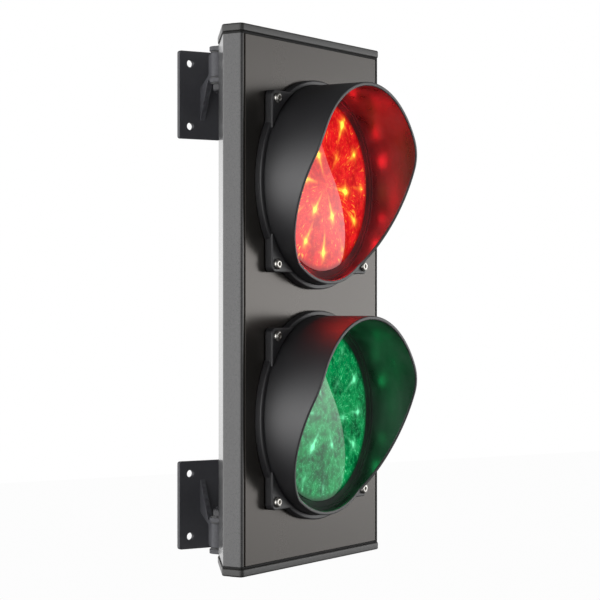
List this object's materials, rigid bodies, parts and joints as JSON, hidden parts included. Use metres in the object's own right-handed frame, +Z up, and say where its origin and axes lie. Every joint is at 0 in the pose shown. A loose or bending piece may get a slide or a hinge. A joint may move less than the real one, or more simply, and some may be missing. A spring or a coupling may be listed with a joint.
{
  "type": "traffic signal head",
  "caption": "Upright two-lamp traffic signal head with hooded red and green lenses, in a slim painted housing that swivels on wall brackets.",
  "frame": {"origin": "on the wall surface, at the centre of the rectangle of the four outermost wall holes, midway between the two wall plates", "axes": "+Z up along the signal head; +Y into the wall, so the head stands out along -Y; +X to the right as seen from the front"},
  "size_m": [0.1824, 0.1873, 0.401],
  "materials": {
    "housing_paint": "satin powder coat",
    "panel_paint": "satin powder coat",
    "cap_plastic": "satin, fine texture",
    "rubber": "matt",
    "hood_plastic": "fine grain, satin",
    "bowl_plastic": "matt",
    "red_lens": "glossy tinted polycarbonate",
    "green_lens": "glossy tinted polycarbonate",
    "red_prism": "faceted, glossy",
    "green_prism": "faceted, glossy",
    "reflector": "metallised",
    "led_board": "white solder mask",
    "led_epoxy": "clear epoxy",
    "plug_plastic": "satin",
    "lead_sheath": "satin",
    "earth_sheath": "satin",
    "circuit_board": "solder mask",
    "component_cases": "moulded cases",
    "terminal_plastic": "satin",
    "plated_steel": "zinc plated",
    "brass": "bare",
    "gland_plastic": "satin nylon",
    "nylon": "satin nylon",
    "bracket_paint": "satin powder coat",
    "blackened_steel": "black oxide",
    "stainless_steel": "bare, as made"
  },
  "bodies": {
    "wall_mount": {"upper_wall_bracket": "bracket_paint", "lower_wall_bracket": "bracket_paint"},
    "head": {"housing_profile": "housing_paint", "front_panel": "panel_paint", "top_cap": "cap_plastic", "bottom_cap": "cap_plastic", "top_gasket": "rubber", "bottom_gasket": "rubber", "top_cap_screws": "stainless_steel", "bottom_cap_screws": "stainless_steel", "driver_board": "circuit_board", "driver_components": "component_cases", "board_spacers": "plated_steel", "board_screws": "stainless_steel", "terminal_block": "terminal_plastic", "terminal_screws": "plated_steel", "earth_stud": "brass", "earth_lead": "earth_sheath", "gland_body": "gland_plastic", "gland_nut": "gland_plastic", "gland_seal": "rubber", "gland_lock_nut": "gland_plastic", "red_bezel": "hood_plastic", "red_visor": "hood_plastic", "red_lens_gasket": "rubber", "red_lens": "red_lens", "red_prism_disc": "red_prism", "red_reflector": "reflector", "red_lamp_bowl": "bowl_plastic", "red_led_board": "led_board", "red_leds": "led_epoxy", "red_lamp_plug": "plug_plastic", "red_lamp_lead": "lead_sheath", "red_bezel_screws": "stainless_steel", "green_bezel": "hood_plastic", "green_visor": "hood_plastic", "green_lens_gasket": "rubber", "green_lens": "green_lens", "green_prism_disc": "green_prism", "green_reflector": "reflector", "green_lamp_bowl": "bowl_plastic", "green_led_board": "led_board", "green_leds": "led_epoxy", "green_lamp_plug": "plug_plastic", "green_lamp_lead": "lead_sheath", "green_bezel_screws": "stainless_steel", "upper_head_bracket": "bracket_paint", "upper_bracket_screws": "stainless_steel", "upper_bracket_nuts": "stainless_steel", "upper_pivot_bolt": "blackened_steel", "upper_pivot_washers": "nylon", "upper_pivot_nut": "blackened_steel", "lower_head_bracket": "bracket_paint", "lower_bracket_screws": "stainless_steel", "lower_bracket_nuts": "stainless_steel", "lower_pivot_bolt": "blackened_steel", "lower_pivot_washers": "nylon", "lower_pivot_nut": "blackened_steel"}
  },
  "joints": [
    {"name": "head_swivel", "type": "hinge", "parent": "wall_mount", "child": "head", "pos_m": [-0.005, -0.0315, 0], "axis": [0, 0, 1], "range_deg": [-70, 20]}
  ]
}
